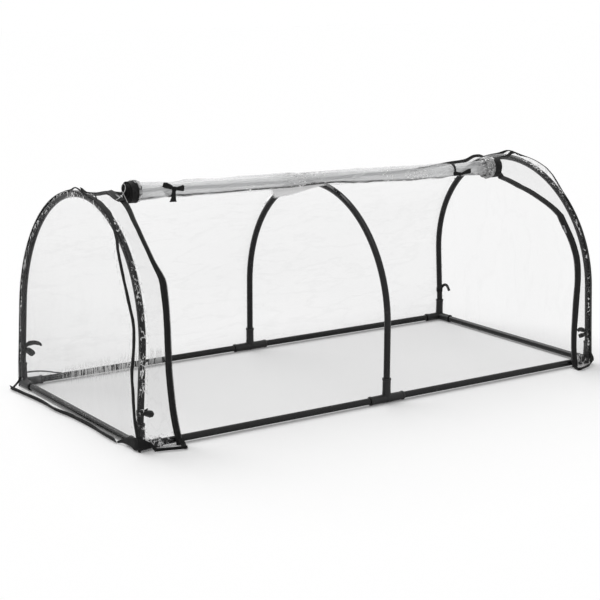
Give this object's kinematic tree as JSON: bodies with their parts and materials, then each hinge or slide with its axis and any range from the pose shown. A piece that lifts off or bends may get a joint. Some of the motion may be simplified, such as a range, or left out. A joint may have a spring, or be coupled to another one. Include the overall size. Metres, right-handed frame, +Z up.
{
  "type": "plastic cold frame",
  "caption": "Low tunnel cold frame: tube base and hoops in moulded connectors under a clear film cover, with the zipped front door rolled up and ground skirts.",
  "frame": {"origin": "on the ground at the centre of the footprint", "axes": "+X along the length, to the right as seen from the open front; -Y towards the front door; +Z up"},
  "size_m": [2.1012, 1.0572, 0.8335],
  "materials": {
    "tube": "black powder coat, half gloss",
    "connector": "moulded black plastic",
    "film": "clear soft film, creased",
    "fabric": "black woven tape",
    "zip": "grey zip coil and slider"
  },
  "bodies": {
    "frame": {"base_tube_front_left": "tube", "base_tube_front_right": "tube", "base_tube_back_left": "tube", "base_tube_back_right": "tube", "base_tube_left_end": "tube", "base_tube_right_end": "tube", "left_hoop_front": "tube", "left_hoop_back": "tube", "middle_hoop_front": "tube", "middle_hoop_back": "tube", "right_hoop_front": "tube", "right_hoop_back": "tube", "corner_connector_front_left": "connector", "corner_connector_front_right": "connector", "corner_connector_back_left": "connector", "corner_connector_back_right": "connector", "tee_connector_front": "connector", "tee_connector_back": "connector", "back_panel": "film", "left_end_panel": "film", "right_end_panel": "film", "left_front_strip": "film", "right_front_strip": "film", "door_header": "film", "door_roll": "film", "ridge_binding": "fabric", "left_end_binding": "fabric", "right_end_binding": "fabric", "left_roll_binding": "fabric", "right_roll_binding": "fabric", "left_roll_tie": "fabric", "right_roll_tie": "fabric", "left_zip_tape": "fabric", "right_zip_tape": "fabric", "leg_tie_front_left": "fabric", "leg_tie_front_right": "fabric", "leg_tie_back_left": "fabric", "leg_tie_back_right": "fabric", "front_left_corner_flap": "fabric", "left_zip_chain": "zip", "right_zip_chain": "zip"},
    "left_slider": {"left_zip_slider": "zip"},
    "left_pull": {"left_zip_pull": "zip"},
    "right_slider": {"right_zip_slider": "zip"},
    "right_pull": {"right_zip_pull": "zip"},
    "back_flap": {"back_skirt": "film", "back_hem": "fabric"},
    "front_left_flap": {"front_left_skirt": "film", "front_left_hem": "fabric"},
    "front_right_flap": {"front_right_skirt": "film", "front_right_hem": "fabric"},
    "left_end_flap": {"left_end_skirt": "film", "left_end_hem": "fabric"},
    "right_end_flap": {"right_end_skirt": "film", "right_end_hem": "fabric"}
  },
  "joints": [
    {"name": "left_zip_travel", "type": "hinge", "parent": "frame", "child": "left_slider", "pos_m": [-0.8867, 0, 0.31299], "axis": [1, 0, 0], "range_deg": [0, 74]},
    {"name": "left_pull_tip", "type": "hinge", "parent": "left_slider", "child": "left_pull", "pos_m": [-0.8867, -0.10847, 0.78283], "axis": [-1, 0, 0], "range_deg": [0, 150]},
    {"name": "right_zip_travel", "type": "hinge", "parent": "frame", "child": "right_slider", "pos_m": [0.8867, 0, 0.31299], "axis": [1, 0, 0], "range_deg": [0, 27]},
    {"name": "right_pull_tip", "type": "hinge", "parent": "right_slider", "child": "right_pull", "pos_m": [0.8867, -0.4176, 0.55409], "axis": [-1, 0, 0], "range_deg": [0, 150]},
    {"name": "back_flap_fold", "type": "hinge", "parent": "frame", "child": "back_flap", "pos_m": [0, 0.4783, 0.0004], "axis": [1, 0, 0], "range_deg": [0, 85]},
    {"name": "front_left_flap_fold", "type": "hinge", "parent": "frame", "child": "front_left_flap", "pos_m": [-0.909, -0.4783, 0.0004], "axis": [-1, 0, 0], "range_deg": [0, 85]},
    {"name": "front_right_flap_fold", "type": "hinge", "parent": "frame", "child": "front_right_flap", "pos_m": [0.909, -0.4783, 0.0004], "axis": [-1, 0, 0], "range_deg": [0, 85]},
    {"name": "left_end_flap_fold", "type": "hinge", "parent": "frame", "child": "left_end_flap", "pos_m": [-1.0183, 0.04, 0.0004], "axis": [0, 1, 0], "range_deg": [0, 85]},
    {"name": "right_end_flap_fold", "type": "hinge", "parent": "frame", "child": "right_end_flap", "pos_m": [1.0183, 0.04, 0.0004], "axis": [0, -1, 0], "range_deg": [0, 85]}
  ]
}
